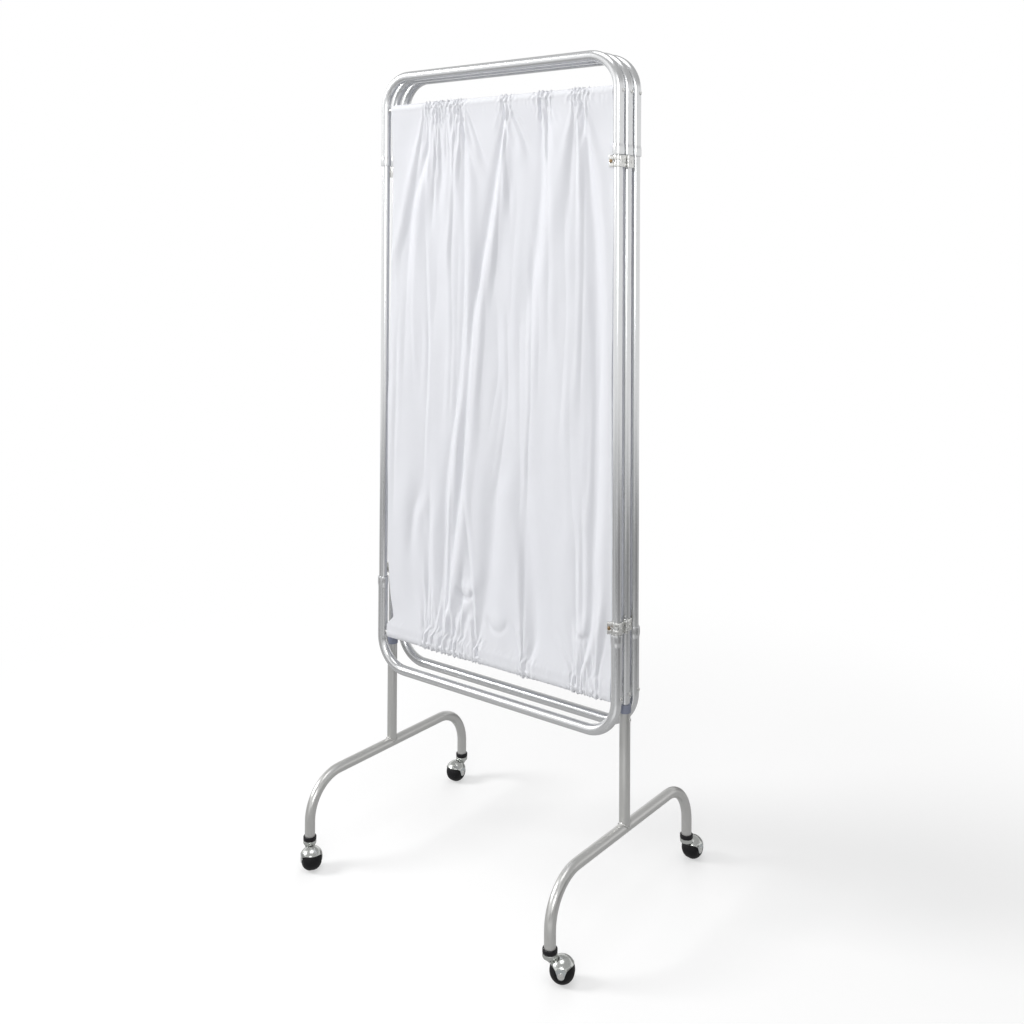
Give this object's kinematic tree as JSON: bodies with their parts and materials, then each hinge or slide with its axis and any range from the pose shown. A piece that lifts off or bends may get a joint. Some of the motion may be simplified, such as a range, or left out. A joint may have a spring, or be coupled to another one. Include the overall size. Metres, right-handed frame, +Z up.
{
  "type": "ward privacy screen on wheels",
  "caption": "Folding ward screen: tube frames hinged side by side, gathered curtains on rods, and arched feet on hooded ball casters.",
  "frame": {"origin": "on the floor, under the middle of the outline with the casters as pictured", "axes": "+Z up; +X along the panels to the side where the front wing is hinged; +Y from the front wing to the rear wing"},
  "size_m": [0.7114, 0.5954, 1.75],
  "materials": {
    "frame_tube": "bright anodised, drawn along the tube",
    "base_paint": "satin silver paint",
    "zinc_fittings": "bright zinc plate",
    "chrome_hood": "polished chrome plate",
    "black_plastic": "moulded, satin",
    "grey_plastic": "moulded, satin",
    "wheel_rubber": "smooth charcoal tread",
    "vinyl_curtain": "soft white vinyl, slight sheen"
  },
  "bodies": {
    "middle_frame_and_base": {"middle_top_bow": "frame_tube", "middle_right_tube": "frame_tube", "right_lower_hinge_frame_leaf": "zinc_fittings", "right_upper_hinge_frame_leaf": "zinc_fittings", "middle_left_tube": "frame_tube", "left_lower_hinge_frame_leaf": "zinc_fittings", "left_upper_hinge_frame_leaf": "zinc_fittings", "middle_curtain": "vinyl_curtain", "middle_top_rod": "zinc_fittings", "middle_bottom_rod": "zinc_fittings", "left_foot_bow": "base_paint", "left_post": "base_paint", "left_post_bushing": "grey_plastic", "left_post_screw": "zinc_fittings", "left_front_caster_socket": "black_plastic", "left_rear_caster_socket": "black_plastic", "right_foot_bow": "base_paint", "right_post": "base_paint", "right_post_bushing": "grey_plastic", "right_post_screw": "zinc_fittings", "right_front_caster_socket": "black_plastic", "right_rear_caster_socket": "black_plastic"},
    "front_wing": {"front_top_bow": "frame_tube", "front_bottom_bow": "frame_tube", "front_right_tube": "frame_tube", "front_left_tube": "frame_tube", "front_curtain": "vinyl_curtain", "front_top_rod": "zinc_fittings", "front_bottom_rod": "zinc_fittings", "right_lower_hinge_wing_leaf": "zinc_fittings", "right_lower_hinge_pin": "zinc_fittings", "right_upper_hinge_wing_leaf": "zinc_fittings", "right_upper_hinge_pin": "zinc_fittings"},
    "rear_wing": {"rear_top_bow": "frame_tube", "rear_bottom_bow": "frame_tube", "rear_left_tube": "frame_tube", "rear_right_tube": "frame_tube", "rear_curtain": "vinyl_curtain", "rear_top_rod": "zinc_fittings", "rear_bottom_rod": "zinc_fittings", "left_lower_hinge_wing_leaf": "zinc_fittings", "left_lower_hinge_pin": "zinc_fittings", "left_upper_hinge_wing_leaf": "zinc_fittings", "left_upper_hinge_pin": "zinc_fittings"},
    "left_front_swivel": {"left_front_caster_hood": "chrome_hood", "left_front_caster_axle": "zinc_fittings"},
    "left_front_wheel": {"left_front_caster_wheel": "wheel_rubber"},
    "left_rear_swivel": {"left_rear_caster_hood": "chrome_hood", "left_rear_caster_axle": "zinc_fittings"},
    "left_rear_wheel": {"left_rear_caster_wheel": "wheel_rubber"},
    "right_front_swivel": {"right_front_caster_hood": "chrome_hood", "right_front_caster_axle": "zinc_fittings"},
    "right_front_wheel": {"right_front_caster_wheel": "wheel_rubber"},
    "right_rear_swivel": {"right_rear_caster_hood": "chrome_hood", "right_rear_caster_axle": "zinc_fittings"},
    "right_rear_wheel": {"right_rear_caster_wheel": "wheel_rubber"}
  },
  "joints": [
    {"name": "front_wing_hinge", "type": "hinge", "parent": "middle_frame_and_base", "child": "front_wing", "pos_m": [0.32471, -0.02147, 1.053], "axis": [0, 0, 1], "range_deg": [0, 180]},
    {"name": "rear_wing_hinge", "type": "hinge", "parent": "middle_frame_and_base", "child": "rear_wing", "pos_m": [-0.34749, 0.01153, 1.053], "axis": [0, 0, 1], "range_deg": [0, 180]},
    {"name": "left_front_caster_swivel", "type": "hinge", "parent": "middle_frame_and_base", "child": "left_front_swivel", "pos_m": [-0.33389, -0.26097, 0.06], "axis": [0, 0, 1], "continuous": true},
    {"name": "left_front_wheel_spin", "type": "hinge", "parent": "left_front_swivel", "child": "left_front_wheel", "pos_m": [-0.3146, -0.27349, 0.0235], "axis": [0.5446, 0.8387, 0], "continuous": true},
    {"name": "left_rear_caster_swivel", "type": "hinge", "parent": "middle_frame_and_base", "child": "left_rear_swivel", "pos_m": [-0.33389, 0.25103, 0.06], "axis": [0, 0, 1], "continuous": true},
    {"name": "left_rear_wheel_spin", "type": "hinge", "parent": "left_rear_swivel", "child": "left_rear_wheel", "pos_m": [-0.33309, 0.22805, 0.0235], "axis": [0.9994, 0.0349, 0], "continuous": true},
    {"name": "right_front_caster_swivel", "type": "hinge", "parent": "middle_frame_and_base", "child": "right_front_swivel", "pos_m": [0.31111, -0.26097, 0.06], "axis": [0, 0, 1], "continuous": true},
    {"name": "right_front_wheel_spin", "type": "hinge", "parent": "right_front_swivel", "child": "right_front_wheel", "pos_m": [0.33142, -0.25017, 0.0235], "axis": [-0.4695, 0.8829, 0], "continuous": true},
    {"name": "right_rear_caster_swivel", "type": "hinge", "parent": "middle_frame_and_base", "child": "right_rear_swivel", "pos_m": [0.31111, 0.25103, 0.06], "axis": [0, 0, 1], "continuous": true},
    {"name": "right_rear_wheel_spin", "type": "hinge", "parent": "right_rear_swivel", "child": "right_rear_wheel", "pos_m": [0.31351, 0.27391, 0.0235], "axis": [-0.9945, 0.1045, 0], "continuous": true}
  ]
}
